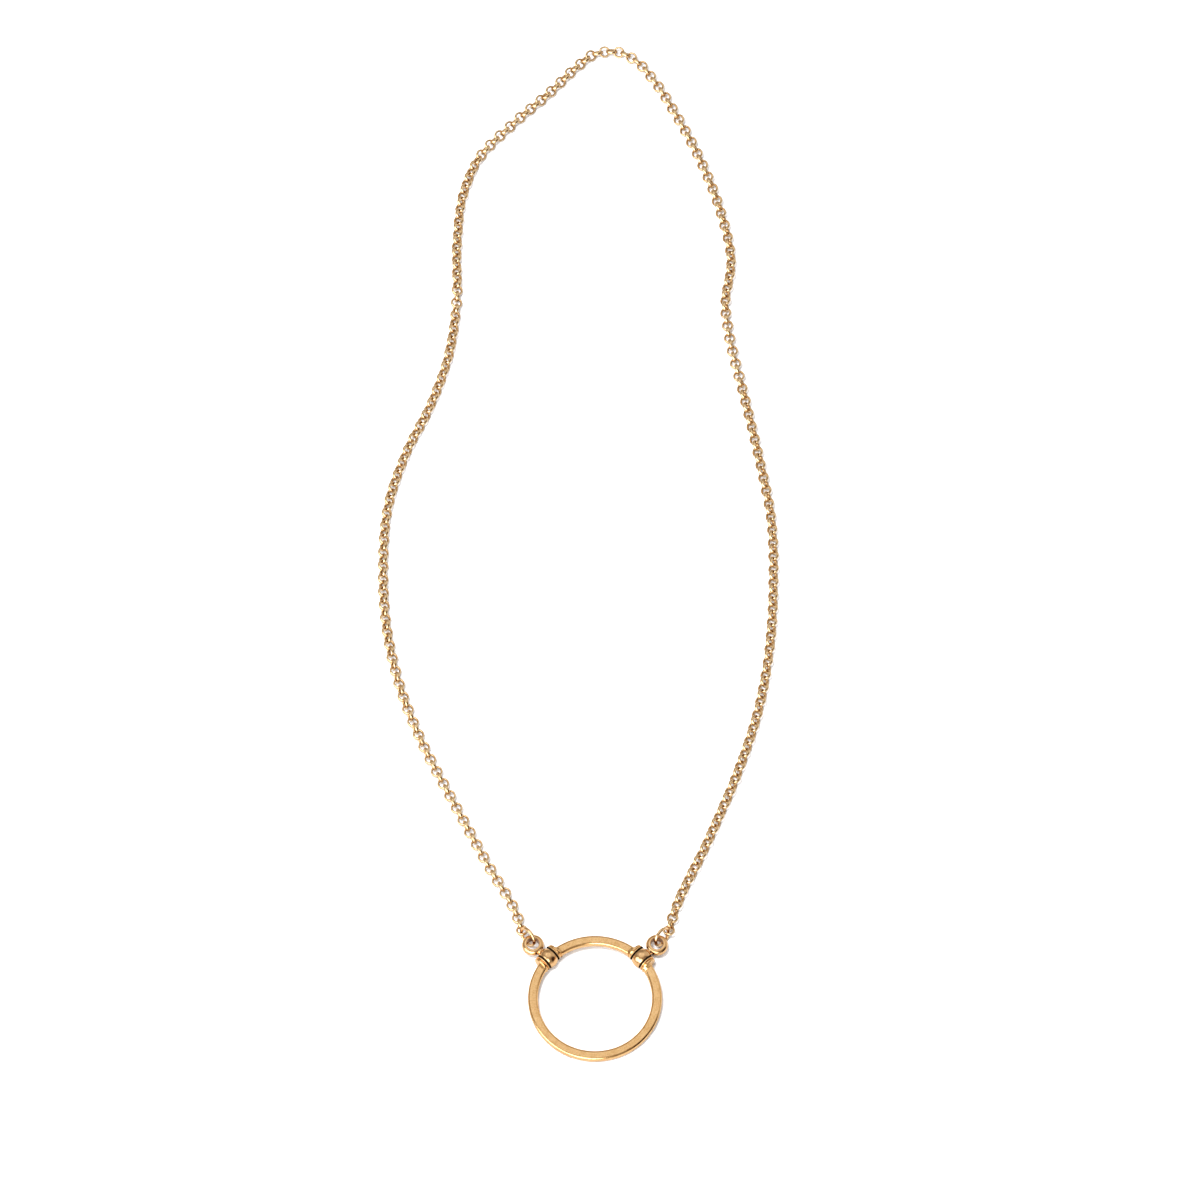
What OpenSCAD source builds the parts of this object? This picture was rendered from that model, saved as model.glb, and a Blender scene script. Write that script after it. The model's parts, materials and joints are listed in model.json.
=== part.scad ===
// Eyeglass holder pendant: a gilt brass ring that hangs from a neck chain.
// The chain ends in two links, and each link holds a bail that turns on a spindle of the ring.
// The whole necklace lies on a table. Millimetres, +Z up, chain towards +Y.

/* [Ring] */
// Outer diameter of the ring
ring_d = 42; // [38:0.5:46]
// Width of the ring's bar, across the ring
bar_w = 3.2; // [2.8:0.1:3.6]
// Thickness of the ring's bar, through the ring
bar_h = 2.6; // [2.4:0.1:3.0]
// Radius of the bar's four soft edges
bar_edge = 0.95; // [0.6:0.05:1.1]

/* [Collars and bails] */
// Angle between the top of the ring and each bail
fitting_angle = 47; // [42:1:54]
// Diameter of the four fixed collars
collar_d = 5.6; // [5.2:0.1:6.0]
// Thickness of a collar
collar_t = 1.4; // [1.2:0.1:1.6]
// Diameter of the spindle that a bail turns on
spindle_d = 3.0; // [2.6:0.1:3.2]
// How far the spindle stands out from the middle of the bar
spindle_out = 0.6; // [0.4:0.1:0.8]
// Largest diameter of the barrel bead
bead_d = 6.4; // [6.2:0.1:7.0]
// Length of the barrel bead along the spindle
bead_w = 3.7; // [3.2:0.1:4.0]
// Gap between a bead and each collar
bead_gap = 0.35; // [0.15:0.05:0.5]

/* [Eyes and end links] */
// Outer diameter of the eye that is soldered on the bead
eye_d = 7.0; // [6.8:0.1:7.2]
// Diameter of the hole through the eye
eye_bore = 4.0; // [3.8:0.1:4.4]
// Radius of the eye's half-round outside
eye_round = 1.35; // [1.2:0.05:1.4]
// Outer diameter of the end link
link_d = 7.0; // [6.9:0.1:7.1]
// Wire of the end link
link_wire = 1.05; // [0.85:0.05:1.05]

/* [Chain] */
// Thickness of the chain as it lies on the table
chain_t = 3.4; // [2.8:0.1:3.6]

/* [Hidden] */
$fn = 96;

// Middle of the ring on the table, with the whole necklace centred on the origin
ring_x = 5.4;
ring_y = -164.4;
ring_r = ring_d / 2 - bar_w / 2;
spindle_r = ring_r + spindle_out;

// The beads are thicker than the bar, so the ring lies on both beads and on its far edge
table_gap = 0.01;
bead_r = bead_d / 2;
edge_in_w = bar_w / 2 - bar_edge;
edge_in_h = bar_h / 2 - bar_edge;
near_tilt = 3.2;
foot_h = edge_in_w * sin(near_tilt) + edge_in_h * cos(near_tilt) + bar_edge + table_gap;
ring_tilt = asin((bead_r - foot_h) / (ring_r + spindle_r * cos(fitting_angle)));
ring_z = bead_r - spindle_r * cos(fitting_angle) * sin(ring_tilt);

// Lengths along a spindle, from the middle of its bead
bore_clear = 0.1;
collar_in = bead_w / 2 + bead_gap;
collar_out = collar_in + collar_t;
bar_end = collar_in + collar_t / 2;

// A collar is a thin lip beside the bead, a round roll, and a shoulder that runs into the bar
lip_t = 0.4;
lip_edge = 0.15;
roll_r = 2.6;
roll_edge = 0.45;
roll_sink = 0.05;
shoulder_sink = 0.3;
shoulder_len = 1.0;
shoulder_r = 2.0;
shoulder_end_r = 1.65;
// The bar curves inwards from the spindle by this much at its shoulder
bar_bow = 0.3;
shoulder_in = spindle_out + bar_bow;

// Barrel shape of the bead: its round side has its centre a little beside the spindle's axis
bead_bulge = 0.93 * bead_r;
bead_edge = 0.2;

// The eye stands this far from the spindle, with a solder joint between
eye_reach = 6.6;
solder_r = 1.1;
solder_from = 2.6;
solder_to = 3.7;
// The bail is turned down so far that its eye is level
bail_turn = ring_tilt * cos(fitting_angle);

// Where the right eye and its end link are
fit_x = ring_x + spindle_r * sin(fitting_angle);
fit_y = ring_y + spindle_r * cos(fitting_angle) * cos(ring_tilt);
eye_x = fit_x + eye_reach * sin(fitting_angle);
eye_y = fit_y + eye_reach * cos(fitting_angle);
link_r = (link_d - link_wire) / 2;
link_heading = 40;
link_lean = 15;
link_out = 1.6;
link_on = 2.75;
link_x = eye_x + link_out;
link_y = eye_y + link_on;
link_z = link_r * cos(link_lean) + link_wire / 2 + table_gap;

// Route of the chain: from the left end link, over the top and down to the right one
chain_z = chain_t / 2;
chain_route = [
    [-17.7, -140.3, 2.5],
    [-18.9, -136.2, 1.8],
    [-28.5, -117.5, chain_z],
    [-39.5, -95.5, chain_z],
    [-50, -73.5, chain_z],
    [-57, -54, chain_z],
    [-61.5, -32.5, chain_z],
    [-62.8, -10, chain_z],
    [-61.5, 11, chain_z],
    [-56, 30.5, chain_z],
    [-48, 49, chain_z],
    [-42.5, 67, chain_z],
    [-40, 87, chain_z],
    [-40, 110, chain_z],
    [-38, 129, chain_z],
    [-33.5, 141.5, chain_z],
    [-21.5, 156, chain_z],
    [-10, 167.5, chain_z],
    [0.5, 179, chain_z],
    [4.5, 182.5, chain_z],
    [9, 183.7, chain_z],
    [14, 183.3, chain_z],
    [18.5, 180.5, chain_z],
    [25.5, 171.5, chain_z],
    [32, 159.5, chain_z],
    [40, 142, chain_z],
    [46.5, 122.5, chain_z],
    [50, 103, chain_z],
    [48, 86, chain_z],
    [49, 76, chain_z],
    [54, 51.5, chain_z],
    [58.5, 29, chain_z],
    [62.2, 6.5, chain_z],
    [62.6, -20, chain_z],
    [61.5, -38, chain_z],
    [57.5, -62.5, chain_z],
    [50.5, -85.5, chain_z],
    [41, -109.5, chain_z],
    [29.8, -136.2, 1.8],
    [28.8, -140.3, 2.5]
];
chain_sides = 8;
ring_step = 9;
// The flat sides of the tube are half the chain's thickness from its middle
tube_r = chain_t / 2 / cos(180 / chain_sides);

// Smooth curve through the route's points, never lower than the table lets it lie
last = len(chain_route) - 1;
function span(i) = norm(chain_route[i + 1] - chain_route[i]);
function chord(i) = (chain_route[i + 1] - chain_route[i]) / span(i);
function slope(i) =
    i == 0 ? chord(0)
    : i == last ? chord(last - 1)
    : (chord(i - 1) * span(i) + chord(i) * span(i - 1)) / (span(i - 1) + span(i));
function curve(i, t) =
    (2 * pow(t, 3) - 3 * pow(t, 2) + 1) * chain_route[i]
    + (pow(t, 3) - 2 * pow(t, 2) + t) * span(i) * slope(i)
    + (3 * pow(t, 2) - 2 * pow(t, 3)) * chain_route[i + 1]
    + (pow(t, 3) - pow(t, 2)) * span(i) * slope(i + 1);
function place(i, t) =
    let (p = curve(i, t))
    [p.x, p.y, max(p.z, chain_z)];
function steps(i) = max(1, round(span(i) / ring_step));
middles = [
    for (i = [0 : last - 1]) for (k = [0 : steps(i) - 1]) place(i, k / steps(i)),
    chain_route[last]
];

// Tube of flat-sided rings along a list of points
function along(p, i) =
    let (a = p[max(i - 1, 0)], b = p[min(i + 1, len(p) - 1)])
    (b - a) / norm(b - a);
function tube_ring(p, i) =
    let (
        ahead = along(p, i),
        side = cross([0, 0, 1], ahead) / norm(cross([0, 0, 1], ahead)),
        up = cross(ahead, side)
    )
    [
        for (k = [0 : chain_sides - 1])
            let (a = 360 * (k + 0.5) / chain_sides)
            p[i] + tube_r * (cos(a) * side + sin(a) * up)
    ];

module swept_tube(p) {
    n = chain_sides;
    points = [for (i = [0 : len(p) - 1]) each tube_ring(p, i)];
    walls = [
        for (i = [0 : len(p) - 2])
            for (k = [0 : n - 1])
                [
                    i * n + k,
                    i * n + (k + 1) % n,
                    (i + 1) * n + (k + 1) % n,
                    (i + 1) * n + k
                ]
    ];
    near_end = [for (k = [n - 1 : -1 : 0]) k];
    far_end = [for (k = [0 : n - 1]) (len(p) - 1) * n + k];
    polyhedron(points, concat([near_end], walls, [far_end]), convexity = 10);
}

// Rectangle with round corners
module soft_rect(w, h, r) {
    square([w - 2 * r, h], center = true);
    square([w, h - 2 * r], center = true);
    for (x = [-1, 1], y = [-1, 1])
        translate([x * (w / 2 - r), y * (h / 2 - r)]) circle(r);
}

// The ring's own plane, as it lies
module on_ring() {
    translate([ring_x, ring_y, ring_z]) rotate([ring_tilt, 0, 0]) children();
}

// The right spindle: X points out of the ring, Z along the spindle
module on_spindle() {
    on_ring() rotate([0, 0, 90 - fitting_angle]) translate([spindle_r, 0, 0]) rotate([-90, 0, 0]) children();
}

// The other half of the pendant
module left_side() {
    translate([ring_x, 0, 0]) mirror([1, 0, 0]) translate([-ring_x, 0, 0]) children();
}

// One stretch of the ring's bar, between two angles from the top
module bar_arc(from, to) {
    on_ring()
        rotate([0, 0, 90 - to])
            rotate_extrude(angle = to - from) translate([ring_r, 0]) soft_rect(bar_w, bar_h, bar_edge);
}

// Flat disc with a round edge, standing on the XY plane
module soft_disc(r, t, edge) {
    translate([0, 0, t / 2])
        rotate_extrude()
            intersection() {
                soft_rect(2 * r, t, edge);
                translate([0, -t / 2]) square([r, t]);
            }
}

// Collar: lip and roll round the spindle, and a shoulder round the bar
module collar() {
    roll_from = lip_t - roll_sink;
    translate([0, 0, collar_in]) {
        soft_disc(collar_d / 2, lip_t, lip_edge);
        translate([0, 0, roll_from]) soft_disc(roll_r, collar_t - roll_from, roll_edge);
    }
    translate([-shoulder_in, 0, collar_out - shoulder_sink])
        cylinder(h = shoulder_len, r1 = shoulder_r, r2 = shoulder_end_r);
}

// Spindle with its two collars, all one with the bar
module spindle() {
    cylinder(h = 2 * bar_end, r = spindle_d / 2, center = true);
    collar();
    mirror([0, 0, 1]) collar();
}

module ring() {
    color([0.88, 0.66, 0.36]) {
        end_angle = asin(bar_end / ring_r);
        bar_arc(-fitting_angle + end_angle, fitting_angle - end_angle);
        bar_arc(fitting_angle + end_angle, 360 - fitting_angle - end_angle);
        on_spindle() spindle();
        left_side() on_spindle() spindle();
    }
}

// Barrel bead with its hole for the spindle
module bead() {
    rotate_extrude()
        difference() {
            intersection() {
                soft_rect(bead_d, bead_w, bead_edge);
                translate([bead_r - bead_bulge, 0]) circle(bead_bulge);
            }
            translate([-bead_d, -bead_w]) square([bead_d + spindle_d / 2 + bore_clear, 2 * bead_w]);
        }
}

// Thick eye, round outside and straight inside
module eye() {
    rotate_extrude()
        intersection() {
            translate([eye_d / 2 - eye_round, 0]) circle(eye_round);
            translate([eye_bore / 2, -eye_round]) square([eye_d / 2, 2 * eye_round]);
        }
}

// Bead and eye soldered into one piece
module bail() {
    on_spindle() rotate([0, 0, bail_turn]) {
        bead();
        translate([solder_from, 0, 0]) rotate([0, 90, 0]) cylinder(h = solder_to - solder_from, r = solder_r);
        translate([eye_reach, 0, 0]) rotate([90, 0, 0]) eye();
    }
}

module right_bail() {
    color([0.86, 0.62, 0.32]) bail();
}

module left_bail() {
    color([0.86, 0.62, 0.32]) left_side() bail();
}

// Round link that joins an eye to the chain, standing on its edge and leaning over
module end_link() {
    translate([link_x, link_y, link_z])
        rotate([0, 0, 90 - link_heading])
            rotate([90 - link_lean, 0, 0])
                rotate_extrude() translate([link_r, 0]) circle(link_wire / 2);
}

module right_end_link() {
    color([0.90, 0.72, 0.42]) end_link();
}

module left_end_link() {
    color([0.90, 0.72, 0.42]) left_side() end_link();
}

// Body of the whole chain, as thick as its links lie
module chain() {
    color([0.90, 0.70, 0.42]) swept_tube(middles);
}

ring();
left_bail();
right_bail();
left_end_link();
right_end_link();
chain();
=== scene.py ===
import json
import math
import random

import bmesh
import bpy
from mathutils import Matrix, Vector


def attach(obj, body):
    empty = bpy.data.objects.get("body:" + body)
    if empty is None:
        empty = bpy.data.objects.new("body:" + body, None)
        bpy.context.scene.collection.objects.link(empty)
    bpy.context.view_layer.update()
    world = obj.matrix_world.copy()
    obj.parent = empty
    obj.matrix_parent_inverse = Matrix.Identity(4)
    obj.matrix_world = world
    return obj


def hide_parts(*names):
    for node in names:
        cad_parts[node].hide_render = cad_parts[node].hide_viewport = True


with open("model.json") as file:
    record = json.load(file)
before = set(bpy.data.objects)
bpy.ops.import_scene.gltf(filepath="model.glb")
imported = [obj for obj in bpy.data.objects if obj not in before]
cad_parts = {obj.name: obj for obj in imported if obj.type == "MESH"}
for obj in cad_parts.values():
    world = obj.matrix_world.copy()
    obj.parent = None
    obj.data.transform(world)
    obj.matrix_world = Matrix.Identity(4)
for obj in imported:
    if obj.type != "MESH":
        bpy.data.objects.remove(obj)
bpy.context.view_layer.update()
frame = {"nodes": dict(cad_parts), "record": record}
nodes = frame["nodes"]


# Ring pendant
# A brass bar bent into a ring, with two spindles and four collars soldered in, all gold plated.
# Its flat faces have a fine satin grain. Its edges and collars are burnished, and painted shade darkens
# its gaps.

# The two kinds of socket that the node groups have
NUMBER = "NodeSocketFloat"
VECTOR = "NodeSocketVector"


def new_group(name, takes, gives):
    """An empty shader node group with its named sockets, and its input and output nodes."""
    group = bpy.data.node_groups.new(name, "ShaderNodeTree")
    for direction, sockets in (("INPUT", takes), ("OUTPUT", gives)):
        for label, kind in sockets.items():
            group.interface.new_socket(label, in_out=direction, socket_type=kind)
    return group, group.nodes.new("NodeGroupInput"), group.nodes.new("NodeGroupOutput")


def place_group(tree, group, values):
    """Puts a node group into a material or the world, with its own values."""
    placed = tree.nodes.new("ShaderNodeGroup")
    placed.node_tree = group
    for label, value in values.items():
        placed.inputs[label].default_value = value
    return placed


def number_node(tree, operation):
    """A node that does one operation on numbers."""
    node = tree.nodes.new("ShaderNodeMath")
    node.operation = operation
    return node


def vector_node(tree, operation):
    """A node that does one operation on vectors."""
    node = tree.nodes.new("ShaderNodeVectorMath")
    node.operation = operation
    return node


def ramp_node(tree, none_at, full_at):
    """A node that rises from 0 to 1 between two values."""
    node = tree.nodes.new("ShaderNodeMapRange")
    node.inputs["From Min"].default_value = none_at
    node.inputs["From Max"].default_value = full_at
    return node


def mix_node(tree, colour, share):
    """A node that goes from the colour at its input A to another one, as far as a share says."""
    node = tree.nodes.new("ShaderNodeMix")
    node.data_type = "RGBA"
    node.inputs["B"].default_value = (*colour, 1)
    tree.links.new(share, node.inputs["Factor"])
    return node


# Nearly all of a noise lies between these two values
NOISE_LOW = 0.36
NOISE_HIGH = 0.64


def grain_group():
    """Satin grain of a matte plate: a height for bump, and a tone that wanders over the metal."""
    group, inputs, outputs = new_group(
        "satin_grain",
        {"Grain Scale": NUMBER, "Cloud Scale": NUMBER, "Grain Share": NUMBER},
        {"Height": NUMBER, "Tone": NUMBER},
    )
    link = group.links.new
    place = group.nodes.new("ShaderNodeTexCoord")
    fine = group.nodes.new("ShaderNodeTexNoise")
    fine.inputs["Detail"].default_value = 3
    fine.inputs["Roughness"].default_value = 0.7
    cloud = group.nodes.new("ShaderNodeTexNoise")
    cloud.inputs["Detail"].default_value = 4
    cloud.inputs["Roughness"].default_value = 0.6
    mixed = group.nodes.new("ShaderNodeMix")
    spread = ramp_node(group, NOISE_LOW, NOISE_HIGH)
    link(place.outputs["Object"], fine.inputs["Vector"])
    link(place.outputs["Object"], cloud.inputs["Vector"])
    link(inputs.outputs["Grain Scale"], fine.inputs["Scale"])
    link(inputs.outputs["Cloud Scale"], cloud.inputs["Scale"])
    link(inputs.outputs["Grain Share"], mixed.inputs["Factor"])
    link(cloud.outputs["Fac"], mixed.inputs["A"])
    link(fine.outputs["Fac"], mixed.inputs["B"])
    link(mixed.outputs["Result"], spread.inputs["Value"])
    link(fine.outputs["Fac"], outputs.inputs["Height"])
    link(spread.outputs["Result"], outputs.inputs["Tone"])
    return group


satin_grain = grain_group()
# How many grains and clouds of tone there are to a metre, and how deep a grain is in metres
GRAIN_SCALE = 2200
CLOUD_SCALE = 380
GRAIN_DEPTH = 0.00003


def gold_plate(name, pale, deep, smooth, rough, grain_share, bump):
    """A plated finish: two tones of gold that wander into each other, with satin grain."""
    material = bpy.data.materials.new(name)
    material.use_nodes = True
    tree = material.node_tree
    link = tree.links.new
    shader = tree.nodes["Principled BSDF"]
    shader.inputs["Metallic"].default_value = 1.0
    grain = place_group(tree, satin_grain, {
        "Grain Scale": GRAIN_SCALE, "Cloud Scale": CLOUD_SCALE, "Grain Share": grain_share,
    })
    tone = mix_node(tree, pale, grain.outputs["Tone"])
    tone.inputs["A"].default_value = (*deep, 1)
    link(tone.outputs["Result"], shader.inputs["Base Color"])
    sheen = tree.nodes.new("ShaderNodeMapRange")
    sheen.inputs["To Min"].default_value = rough
    sheen.inputs["To Max"].default_value = smooth
    link(grain.outputs["Tone"], sheen.inputs["Value"])
    link(sheen.outputs["Result"], shader.inputs["Roughness"])
    relief = tree.nodes.new("ShaderNodeBump")
    relief.inputs["Strength"].default_value = bump
    relief.inputs["Distance"].default_value = GRAIN_DEPTH
    link(grain.outputs["Height"], relief.inputs["Height"])
    link(relief.outputs["Normal"], shader.inputs["Normal"])
    return material


def lay_over(material, colour, mask):
    """Lays another colour over the plate's own, as far as a mask says."""
    tree = material.node_tree
    base = tree.nodes["Principled BSDF"].inputs["Base Color"]
    cover = mix_node(tree, colour, mask)
    tree.links.new(base.links[0].from_socket, cover.inputs["A"])
    tree.links.new(cover.outputs["Result"], base)


def dress(piece, material):
    """Puts one material on a whole piece."""
    piece.data.materials.clear()
    piece.data.materials.append(material)


# Cosines of the tilt from the ring's flat faces, where the metal is all burnished and all matte
EDGE_TILT = 0.93
FACE_TILT = 0.99


def burnish_edges(material, axis, edge_rough):
    """All but the flat faces across the axis gets the shine of a burnished edge."""
    tree = material.node_tree
    link = tree.links.new
    roughness = tree.nodes["Principled BSDF"].inputs["Roughness"]
    surface = tree.nodes.new("ShaderNodeNewGeometry")
    facing = vector_node(tree, "DOT_PRODUCT")
    facing.inputs[1].default_value = axis
    either_face = number_node(tree, "ABSOLUTE")
    flat = ramp_node(tree, EDGE_TILT, FACE_TILT)
    choice = tree.nodes.new("ShaderNodeMix")
    choice.inputs["A"].default_value = edge_rough
    link(surface.outputs["Normal"], facing.inputs[0])
    link(facing.outputs["Value"], either_face.inputs[0])
    link(either_face.outputs["Value"], flat.inputs["Value"])
    link(flat.outputs["Result"], choice.inputs["Factor"])
    link(roughness.links[0].from_socket, choice.inputs["B"])
    link(choice.outputs["Result"], roughness)


# Shade is painted into the gaps near each bead, and fades out between these distances from the bead's
# middle
GAP_SHADE_END = 0.0038
GAP_SHADE_FULL = 0.0035
# The colour of the painted shade in the gaps
GAP_SHADE_COLOUR = (0.020, 0.009, 0.004)


def gap_group():
    """Mask of the painted shade beside a bead, between two distances along its spindle."""
    group, inputs, outputs = new_group(
        "bead_gap",
        {"Middle": VECTOR, "Along": VECTOR, "Clean": NUMBER, "Dark": NUMBER},
        {"Mask": NUMBER},
    )
    link = group.links.new
    place = group.nodes.new("ShaderNodeTexCoord")
    offset = vector_node(group, "SUBTRACT")
    along = vector_node(group, "DOT_PRODUCT")
    either_end = number_node(group, "ABSOLUTE")
    fade = group.nodes.new("ShaderNodeMapRange")
    distance = vector_node(group, "LENGTH")
    near = ramp_node(group, GAP_SHADE_END, GAP_SHADE_FULL)
    both = number_node(group, "MULTIPLY")
    link(place.outputs["Object"], offset.inputs[0])
    link(inputs.outputs["Middle"], offset.inputs[1])
    link(offset.outputs["Vector"], along.inputs[0])
    link(inputs.outputs["Along"], along.inputs[1])
    link(along.outputs["Value"], either_end.inputs[0])
    link(either_end.outputs["Value"], fade.inputs["Value"])
    link(inputs.outputs["Clean"], fade.inputs["From Min"])
    link(inputs.outputs["Dark"], fade.inputs["From Max"])
    link(offset.outputs["Vector"], distance.inputs[0])
    link(distance.outputs["Value"], near.inputs["Value"])
    link(fade.outputs["Result"], both.inputs[0])
    link(near.outputs["Result"], both.inputs[1])
    link(both.outputs["Value"], outputs.inputs["Mask"])
    return group


bead_gap = gap_group()
# The ring's middle and its axis as it lies
ring_opening = frame["record"]["mounts"][0]
RING_MIDDLE = Vector(ring_opening["pos_m"])
RING_AXIS = Vector(ring_opening["axis"])
# Each bead's middle: its distance from the ring's middle, its height, and its angle from +Y
SPINDLE_R = 0.0200
BEAD_HEIGHT = 0.0032
FITTING_ANGLE = math.radians(47)
# The left and the right side
BOTH_SIDES = (-1, 1)


def outward(side):
    """Level direction from the ring's middle past the bead on one side."""
    return Vector((side * math.sin(FITTING_ANGLE), math.cos(FITTING_ANGLE), 0))


def bead_middle(side):
    """Middle of the bead on one side."""
    middle = RING_MIDDLE + SPINDLE_R * outward(side)
    middle.z = BEAD_HEIGHT
    return middle


def paint_gap_shade(material, clean, dark):
    """Paints shade into the narrow gaps beside each bead, as a dull, nearly black coat that is not
    metal.
    """
    tree = material.node_tree
    link = tree.links.new
    shader = tree.nodes["Principled BSDF"]
    shader.inputs["Specular IOR Level"].default_value = 0
    either_bead = number_node(tree, "MAXIMUM")
    for slot, side in enumerate(BOTH_SIDES):
        spindle = RING_AXIS.cross(outward(side)).normalized()
        mask = place_group(tree, bead_gap, {
            "Middle": bead_middle(side), "Along": spindle, "Clean": clean, "Dark": dark,
        })
        link(mask.outputs["Mask"], either_bead.inputs[slot])
    bare = number_node(tree, "SUBTRACT")
    bare.inputs[0].default_value = 1
    link(either_bead.outputs["Value"], bare.inputs[1])
    link(bare.outputs["Value"], shader.inputs["Metallic"])
    lay_over(material, GAP_SHADE_COLOUR, either_bead.outputs["Value"])


matte_gold = gold_plate(
    "matte_gold", pale=(0.97, 0.65, 0.32), deep=(0.71, 0.40, 0.15),
    smooth=0.26, rough=0.38, grain_share=0.7, bump=1.0,
)
burnish_edges(matte_gold, RING_AXIS, edge_rough=0.09)
# Painted shade darkens the gaps beside the beads
paint_gap_shade(matte_gold, clean=0.00260, dark=0.00250)
dress(nodes["ring"], matte_gold)


# Bails
# A barrel bead turns on each spindle, with a thick eye soldered on it.
# They are smoother than the ring, because they were tumbled before plating.

# How far an eye's middle is outside its bead's
EYE_REACH = 0.0066
# Brown shade is painted inside each eye, and fades out between these distances from the axis of its
# hole
HOLE_SHADE_END = 0.00220
HOLE_SHADE_FULL = 0.00202
EYE_HOLE_SHADE = (0.40, 0.19, 0.08)


def hole_group():
    """Mask of the painted shade round the inside of an upright hole."""
    group, inputs, outputs = new_group("eye_hole", {"Middle": VECTOR}, {"Mask": NUMBER})
    link = group.links.new
    place = group.nodes.new("ShaderNodeTexCoord")
    offset = vector_node(group, "SUBTRACT")
    level = vector_node(group, "MULTIPLY")
    level.inputs[1].default_value = (1, 1, 0)
    distance = vector_node(group, "LENGTH")
    near = ramp_node(group, HOLE_SHADE_END, HOLE_SHADE_FULL)
    link(place.outputs["Object"], offset.inputs[0])
    link(inputs.outputs["Middle"], offset.inputs[1])
    link(offset.outputs["Vector"], level.inputs[0])
    link(level.outputs["Vector"], distance.inputs[0])
    link(distance.outputs["Value"], near.inputs["Value"])
    link(near.outputs["Result"], outputs.inputs["Mask"])
    return group


eye_hole = hole_group()


def paint_eye_hole_shade(material):
    """Paints a brown shade round the inside of each eye."""
    for side in BOTH_SIDES:
        eye_middle = bead_middle(side) + EYE_REACH * outward(side)
        mask = place_group(material.node_tree, eye_hole, {"Middle": eye_middle})
        lay_over(material, EYE_HOLE_SHADE, mask.outputs["Mask"])


smooth_gold = gold_plate(
    "smooth_gold", pale=(0.88, 0.58, 0.30), deep=(0.76, 0.45, 0.20),
    smooth=0.15, rough=0.22, grain_share=0.5, bump=0.3,
)
# Painted brown shade inside the eyes
paint_eye_hole_shade(smooth_gold)
# Painted shade darkens the bails' sides in the gaps beside the collars
paint_gap_shade(smooth_gold, clean=0.00150, dark=0.00160)
for name in ("left_bail", "right_bail"):
    dress(nodes[name], smooth_gold)


# End links
# Round wire closed through each eye, bright from the chain maker's polish.
bright_gold = gold_plate(
    "bright_gold", pale=(0.90, 0.63, 0.36), deep=(0.80, 0.51, 0.25),
    smooth=0.12, rough=0.20, grain_share=0.3, bump=0.15,
)
for name in ("left_end_link", "right_end_link"):
    dress(nodes[name], bright_gold)


# Chain
# One unbroken rolo chain of round links in oval wire, each turned a quarter from the last.
# It replaces the plain tube, lies along the same route, and rolls over to one side on the way.

# The height of the tube's middle, and the points of its route
CHAIN_Z = 0.0017
ROUTE = [
    (-0.0177, -0.1403, 0.0025), (-0.0189, -0.1362, 0.0018), (-0.0285, -0.1175, CHAIN_Z),
    (-0.0395, -0.0955, CHAIN_Z), (-0.0500, -0.0735, CHAIN_Z), (-0.0570, -0.0540, CHAIN_Z),
    (-0.0615, -0.0325, CHAIN_Z), (-0.0628, -0.0100, CHAIN_Z), (-0.0615, 0.0110, CHAIN_Z),
    (-0.0560, 0.0305, CHAIN_Z), (-0.0480, 0.0490, CHAIN_Z), (-0.0425, 0.0670, CHAIN_Z),
    (-0.0400, 0.0870, CHAIN_Z), (-0.0400, 0.1100, CHAIN_Z), (-0.0380, 0.1290, CHAIN_Z),
    (-0.0335, 0.1415, CHAIN_Z), (-0.0215, 0.1560, CHAIN_Z), (-0.0100, 0.1675, CHAIN_Z),
    (0.0005, 0.1790, CHAIN_Z), (0.0045, 0.1825, CHAIN_Z), (0.0090, 0.1837, CHAIN_Z),
    (0.0140, 0.1833, CHAIN_Z), (0.0185, 0.1805, CHAIN_Z), (0.0255, 0.1715, CHAIN_Z),
    (0.0320, 0.1595, CHAIN_Z), (0.0400, 0.1420, CHAIN_Z), (0.0465, 0.1225, CHAIN_Z),
    (0.0500, 0.1030, CHAIN_Z), (0.0480, 0.0860, CHAIN_Z), (0.0490, 0.0760, CHAIN_Z),
    (0.0540, 0.0515, CHAIN_Z), (0.0585, 0.0290, CHAIN_Z), (0.0622, 0.0065, CHAIN_Z),
    (0.0626, -0.0200, CHAIN_Z), (0.0615, -0.0380, CHAIN_Z), (0.0575, -0.0625, CHAIN_Z),
    (0.0505, -0.0855, CHAIN_Z), (0.0410, -0.1095, CHAIN_Z), (0.0298, -0.1362, 0.0018),
    (0.0288, -0.1403, 0.0025),
]
# How many points of the smooth curve there are to each span of the route
POINTS_PER_SPAN = 24
# Height of a link's middle when the chain lies on the table
LINK_Z = 0.00209
# A link's outer diameter, its wire's thickness and its width, and the pitch of the chain
LINK_D = 0.00400
WIRE_T = 0.00079
WIRE_W = 0.00125
LINK_PITCH = 0.00241
# How many faces there are round a link, and round its wire
ROUND_STEPS = 12
WIRE_SIDES = 6
# One step of subdivision draws a ring and its wire in to these shares of their size
ROUND_DRAW = 0.966
WIRE_DRAW = 0.87
# Radius of the middle of the wire, before that step
WIRE_MIDDLE = (LINK_D - WIRE_T) / 2 / ROUND_DRAW
# The first and last link pass round the end links, this far beyond the route's ends
END_REACH = 0.00065
# How far the chain has rolled as it lies: share of its length, and degrees
ROLLS = [
    (0.00, 0), (0.02, -8), (0.07, -6), (0.12, 6), (0.17, 26), (0.20, 32), (0.25, 52),
    (0.33, 49), (0.345, 12), (0.36, 48), (0.41, 58), (0.43, 32), (0.45, 34), (0.49, 38),
    (0.508, 38), (0.53, 22), (0.59, 20), (0.62, 27), (0.645, 38), (0.66, 34), (0.68, 8),
    (0.70, 8), (0.715, 32), (0.78, 34), (0.82, 36), (0.86, 36), (0.98, 34), (1.00, 8),
]
# Each link sits a little off the even turn, by up to this many degrees
LOOSE_TURN = 5
SHAKE_SEED = 11


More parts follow.
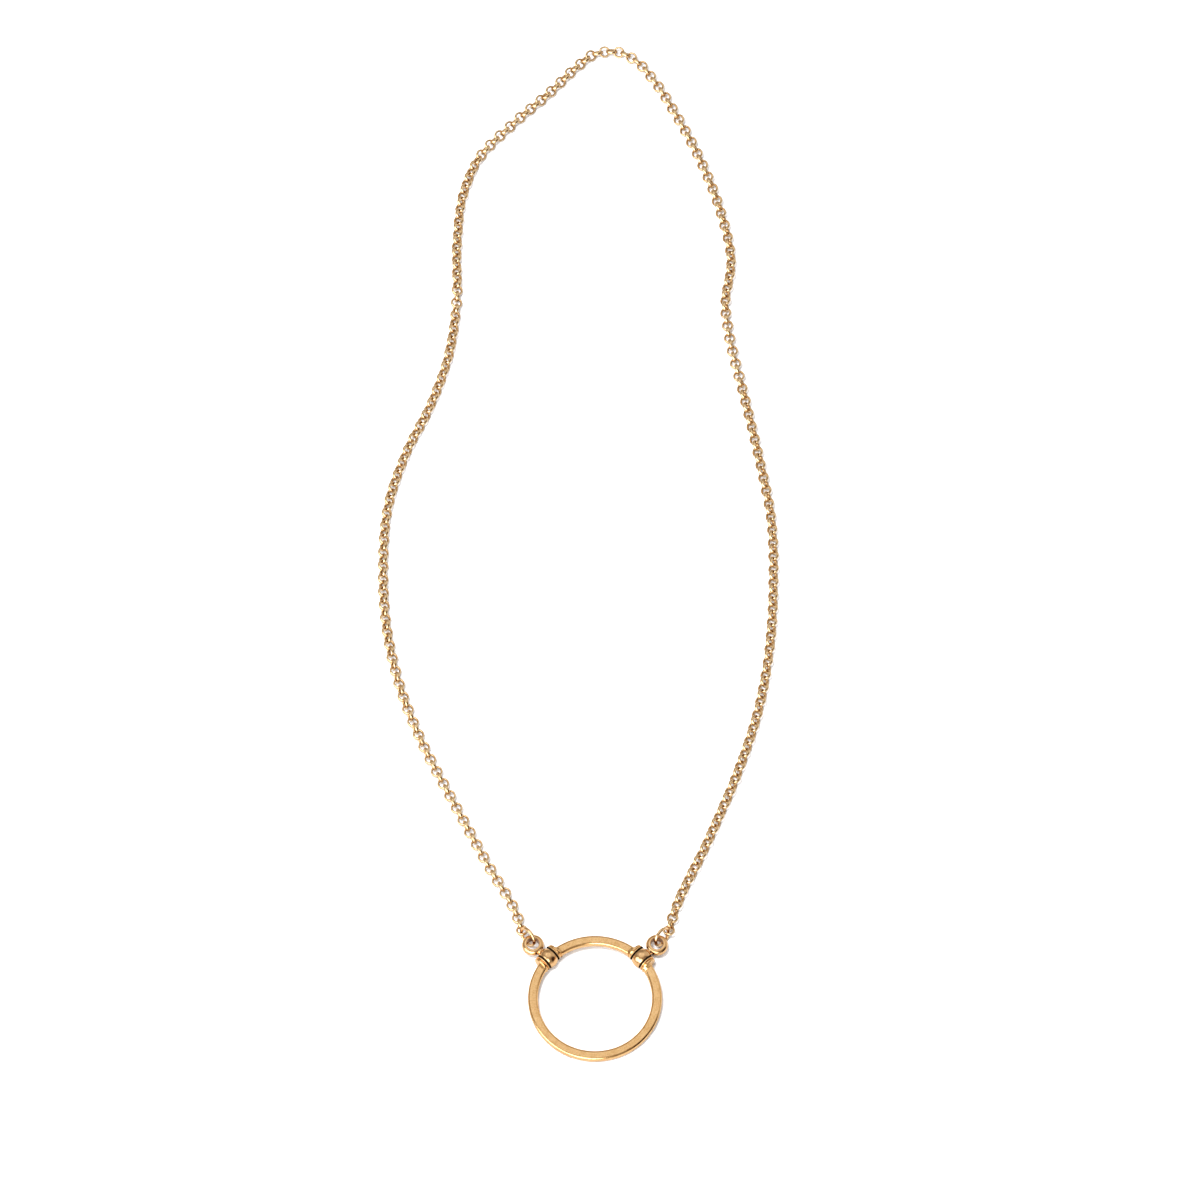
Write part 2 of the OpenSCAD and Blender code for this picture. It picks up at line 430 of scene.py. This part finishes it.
def smooth_route(points):
    """Points of the same smooth curve as the tube's, close together."""
    points = [Vector(p) for p in points]
    spans = [(b - a).length for a, b in zip(points, points[1:])]
    chords = [(b - a) / s for a, b, s in zip(points, points[1:], spans)]
    slopes = [chords[0]]
    for i in range(1, len(spans)):
        mixed = chords[i - 1] * spans[i] + chords[i] * spans[i - 1]
        slopes.append(mixed / (spans[i - 1] + spans[i]))
    slopes.append(chords[-1])
    curve = [points[0] - chords[0] * END_REACH]
    for i, span in enumerate(spans):
        for k in range(POINTS_PER_SPAN):
            t = k / POINTS_PER_SPAN
            place = (
                (2 * t**3 - 3 * t**2 + 1) * points[i]
                + (t**3 - 2 * t**2 + t) * span * slopes[i]
                + (3 * t**2 - 2 * t**3) * points[i + 1]
                + (t**3 - t**2) * span * slopes[i + 1]
            )
            place.z = max(place.z, LINK_Z)
            curve.append(place)
    curve.append(points[-1])
    curve.append(points[-1] + chords[-1] * END_REACH)
    return curve


def walk(curve, count):
    """Evenly spaced stops along a curve: each one's place, heading and share of the length."""
    lengths = [0.0]
    for a, b in zip(curve, curve[1:]):
        lengths.append(lengths[-1] + (b - a).length)
    stops = []
    at = 0
    for k in range(count):
        want = lengths[-1] * k / (count - 1)
        while at < len(curve) - 2 and lengths[at + 1] < want:
            at += 1
        share = (want - lengths[at]) / (lengths[at + 1] - lengths[at])
        place = curve[at].lerp(curve[at + 1], share)
        heading = (curve[at + 1] - curve[at]).normalized()
        stops.append((place, heading, want / lengths[-1]))
    return stops


def roll_at(share):
    """The chain's roll in radians, eased between the stations."""
    for (a, low), (b, high) in zip(ROLLS, ROLLS[1:]):
        if share <= b:
            t = (share - a) / (b - a)
            return math.radians(low + (high - low) * t * t * (3 - 2 * t))
    return math.radians(ROLLS[-1][1])


def link_mesh():
    """One round link, its hole along Z and its wire an oval."""
    shape = bmesh.new()
    wire = bmesh.ops.create_circle(shape, segments=WIRE_SIDES, radius=0.5)["verts"]
    bmesh.ops.scale(shape, verts=wire, vec=(WIRE_T / WIRE_DRAW, WIRE_W / WIRE_DRAW, 1))
    bmesh.ops.rotate(shape, verts=wire, cent=(0, 0, 0), matrix=Matrix.Rotation(math.pi / 2, 3, "X"))
    bmesh.ops.translate(shape, verts=wire, vec=(WIRE_MIDDLE, 0, 0))
    bmesh.ops.spin(
        shape, geom=shape.verts[:] + shape.edges[:], cent=(0, 0, 0), axis=(0, 0, 1),
        angle=math.tau, steps=ROUND_STEPS, use_merge=True,
    )
    bmesh.ops.recalc_face_normals(shape, faces=shape.faces)
    mesh = bpy.data.meshes.new("one_link")
    shape.to_mesh(mesh)
    shape.free()
    return mesh


def make_chain():
    """All the links in one mesh, along the route, with a mark on the inside of each for painted shade.
    """
    curve = smooth_route(ROUTE)
    length = sum((b - a).length for a, b in zip(curve, curve[1:]))
    count = 2 * round(length / LINK_PITCH / 2) + 1
    one = link_mesh()
    draw = random.Random(SHAKE_SEED)
    whole = bmesh.new()
    for k, (place, heading, share) in enumerate(walk(curve, count)):
        side = Vector((0, 0, 1)).cross(heading).normalized()
        up = heading.cross(side)
        roll = roll_at(share) + (math.pi / 2 if k % 2 else 0)
        if 0 < k < count - 1:
            roll += math.radians(draw.uniform(-LOOSE_TURN, LOOSE_TURN))
        turned = Matrix.Rotation(roll, 3, heading)
        pose = Matrix((heading, turned @ side, turned @ up)).transposed().to_4x4()
        pose.translation = place
        start = len(whole.verts)
        whole.from_mesh(one)
        whole.verts.ensure_lookup_table()
        bmesh.ops.transform(whole, matrix=pose, verts=whole.verts[start:])
    for face in whole.faces:
        face.smooth = True
    mesh = bpy.data.meshes.new("chain_links")
    whole.to_mesh(mesh)
    whole.free()
    # The mark for painted shade rises from 0 at the middle of the wire to 1 at the inside of the link
    inward = [(WIRE_MIDDLE - v.co.xy.length) / (WIRE_T / 2) for v in one.vertices]
    marks = [min(1, max(0, share)) for share in inward]
    inside = mesh.attributes.new("inside", "FLOAT", "POINT")
    inside.data.foreach_set("value", marks * count)
    bpy.data.meshes.remove(one)
    return mesh


def paint_link_inside_shade(material, brown):
    """Paints a brown shade on the inside of each link."""
    mark = material.node_tree.nodes.new("ShaderNodeAttribute")
    mark.attribute_name = "inside"
    lay_over(material, brown, mark.outputs["Fac"])


chain = bpy.data.objects.new("chain_links", make_chain())
bpy.context.collection.objects.link(chain)
rounded = chain.modifiers.new("rounded", "SUBSURF")
rounded.levels = 1
rounded.render_levels = 1
chain_gold = gold_plate(
    "chain_gold", pale=(0.86, 0.64, 0.38), deep=(0.70, 0.48, 0.25),
    smooth=0.15, rough=0.22, grain_share=0.4, bump=0.1,
)
# Painted brown shade on the inside of the links
paint_link_inside_shade(chain_gold, brown=(0.55, 0.34, 0.16))
dress(chain, chain_gold)
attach(chain, "root")
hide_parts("chain")


# Table
# A plain white table top that the necklace lies on, lit until it is pure white.
# Mirrored in the metal it is dimmer, so that the metal keeps its own colour.

# Half its width in metres, and its colours where it is seen directly and in the metal
TABLE_HALF = 4
SEEN_WHITE = (0.89, 0.91, 0.95)
MIRRORED_GREY = (0.47, 0.46, 0.45)
table_shape = bmesh.new()
bmesh.ops.create_grid(table_shape, x_segments=1, y_segments=1, size=TABLE_HALF)
table_mesh = bpy.data.meshes.new("table")
table_shape.to_mesh(table_mesh)
table_shape.free()
table = bpy.data.objects.new("table", table_mesh)
bpy.context.collection.objects.link(table)
table_white = bpy.data.materials.new("table_white")
table_white.use_nodes = True
table_tree = table_white.node_tree
table_tree.nodes.remove(table_tree.nodes["Principled BSDF"])
seen_by = table_tree.nodes.new("ShaderNodeLightPath")
seen = table_tree.nodes.new("ShaderNodeBsdfDiffuse")
seen.inputs["Color"].default_value = (*SEEN_WHITE, 1)
mirrored = table_tree.nodes.new("ShaderNodeBsdfDiffuse")
mirrored.inputs["Color"].default_value = (*MIRRORED_GREY, 1)
table_mix = table_tree.nodes.new("ShaderNodeMixShader")
table_tree.links.new(seen_by.outputs["Is Glossy Ray"], table_mix.inputs["Fac"])
table_tree.links.new(seen.outputs["BSDF"], table_mix.inputs[1])
table_tree.links.new(mirrored.outputs["BSDF"], table_mix.inputs[2])
table_tree.links.new(table_mix.outputs["Shader"], table_tree.nodes["Material Output"].inputs["Surface"])
dress(table, table_white)


# Light
# What the metal mirrors is a dim warm tent with brighter white panels and one brown screen.
# One round lamp above, a little to the left and in front, gives the short soft shadows.

# The tent's own brightness, and the colours that it goes between as that rises from 0 to 1
DIM_TENT = 0.38
DIM_WARM = (1.0, 0.80, 0.58)
BRIGHT_WHITE = (1, 1, 1)
# Each panel: azimuth, elevation, and the angles to its rim and its even middle, in degrees; power
PANELS = [
    (0, 79, 37, 22, 0.60),
    (-122, 28, 26, 16, 3.40),
    (-166, 28, 26, 16, 4.40),
    (-48, 48, 28, 12, 0.28),
    (56, 32, 40, 16, 0.34),
]
# The screen stands in front of the tent and is placed in the same way
SCREEN = (112, 22, 32, 18, 1.00)
SCREEN_BROWN = (0.12, 0.05, 0.03)
# The lamp's place, its width in metres and its power in watts
LAMP_PLACE = (-0.30, -0.26, 1.38)
LAMP_SIZE = 0.55
LAMP_POWER = 30


def panel_group():
    """Brightness of a soft round panel, seen in a direction of the sky."""
    group, inputs, outputs = new_group(
        "soft_panel",
        {"Toward": VECTOR, "Rim": NUMBER, "Middle": NUMBER, "Power": NUMBER},
        {"Light": NUMBER},
    )
    link = group.links.new
    sky = group.nodes.new("ShaderNodeTexCoord")
    facing = vector_node(group, "DOT_PRODUCT")
    fade = group.nodes.new("ShaderNodeMapRange")
    fade.interpolation_type = "SMOOTHSTEP"
    link(sky.outputs["Generated"], facing.inputs[0])
    link(inputs.outputs["Toward"], facing.inputs[1])
    link(facing.outputs["Value"], fade.inputs["Value"])
    link(inputs.outputs["Rim"], fade.inputs["From Min"])
    link(inputs.outputs["Middle"], fade.inputs["From Max"])
    link(inputs.outputs["Power"], fade.inputs["To Max"])
    link(fade.outputs["Result"], outputs.inputs["Light"])
    return group


def sky_direction(azimuth, elevation):
    """Unit vector towards a place in the sky. Azimuth 0 is +Y and 90 is +X."""
    a = math.radians(azimuth)
    e = math.radians(elevation)
    return (math.sin(a) * math.cos(e), math.cos(a) * math.cos(e), math.sin(e))


tent = bpy.data.worlds.new("tent")
tent.use_nodes = True
tent_tree = tent.node_tree
soft_panel = panel_group()


def hang_panel(azimuth, elevation, rim, middle, power):
    """Hangs one soft panel in the sky and gives back its light."""
    lit = place_group(tent_tree, soft_panel, {
        "Toward": sky_direction(azimuth, elevation),
        "Rim": math.cos(math.radians(rim)),
        "Middle": math.cos(math.radians(middle)),
        "Power": power,
    })
    return lit.outputs["Light"]


# Each panel adds its light to the dim tent's
dim = tent_tree.nodes.new("ShaderNodeValue")
glow = dim.outputs["Value"]
glow.default_value = DIM_TENT
for panel in PANELS:
    joined = number_node(tent_tree, "ADD")
    tent_tree.links.new(glow, joined.inputs[0])
    tent_tree.links.new(hang_panel(*panel), joined.inputs[1])
    glow = joined.outputs["Value"]
# The dim parts are warm and the bright ones white, and the screen covers what is behind it
warmth = mix_node(tent_tree, BRIGHT_WHITE, glow)
warmth.inputs["A"].default_value = (*DIM_WARM, 1)
shade = mix_node(tent_tree, SCREEN_BROWN, hang_panel(*SCREEN))
tent_tree.links.new(warmth.outputs["Result"], shade.inputs["A"])
background = tent_tree.nodes["Background"]
tent_tree.links.new(shade.outputs["Result"], background.inputs["Color"])
tent_tree.links.new(glow, background.inputs["Strength"])
bpy.context.scene.world = tent
lamp = bpy.data.lights.new("soft_lamp", "AREA")
lamp.shape = "DISK"
lamp.size = LAMP_SIZE
lamp.energy = LAMP_POWER
soft_lamp = bpy.data.objects.new("soft_lamp", lamp)
soft_lamp.location = LAMP_PLACE
soft_lamp.rotation_euler = soft_lamp.location.to_track_quat("Z", "Y").to_euler()
soft_lamp.visible_glossy = False
bpy.context.collection.objects.link(soft_lamp)
bpy.context.scene.view_settings.view_transform = "Standard"


# Camera
# It looks along the necklace from the pendant's side, high above the table, with a long lens.

# Its angle above the level, its distance from the point that it looks at, and that point
CAMERA_HEIGHT_ANGLE = math.radians(62)
CAMERA_DISTANCE = 2.57
CAMERA_AIM = Vector((0.007, -0.022, 0))
CAMERA_LENS = 240
SENSOR_WIDTH = 36
NEAREST_SEEN = 0.1
FARTHEST_SEEN = 20
camera_data = bpy.data.cameras.new("camera")
camera_data.lens = CAMERA_LENS
camera_data.sensor_width = SENSOR_WIDTH
camera_data.clip_start = NEAREST_SEEN
camera_data.clip_end = FARTHEST_SEEN
camera = bpy.data.objects.new("camera", camera_data)
back = Vector((0, -math.cos(CAMERA_HEIGHT_ANGLE), math.sin(CAMERA_HEIGHT_ANGLE)))
camera.location = CAMERA_AIM + back * CAMERA_DISTANCE
camera.rotation_euler = back.to_track_quat("Z", "Y").to_euler()
bpy.context.collection.objects.link(camera)
bpy.context.scene.camera = camera
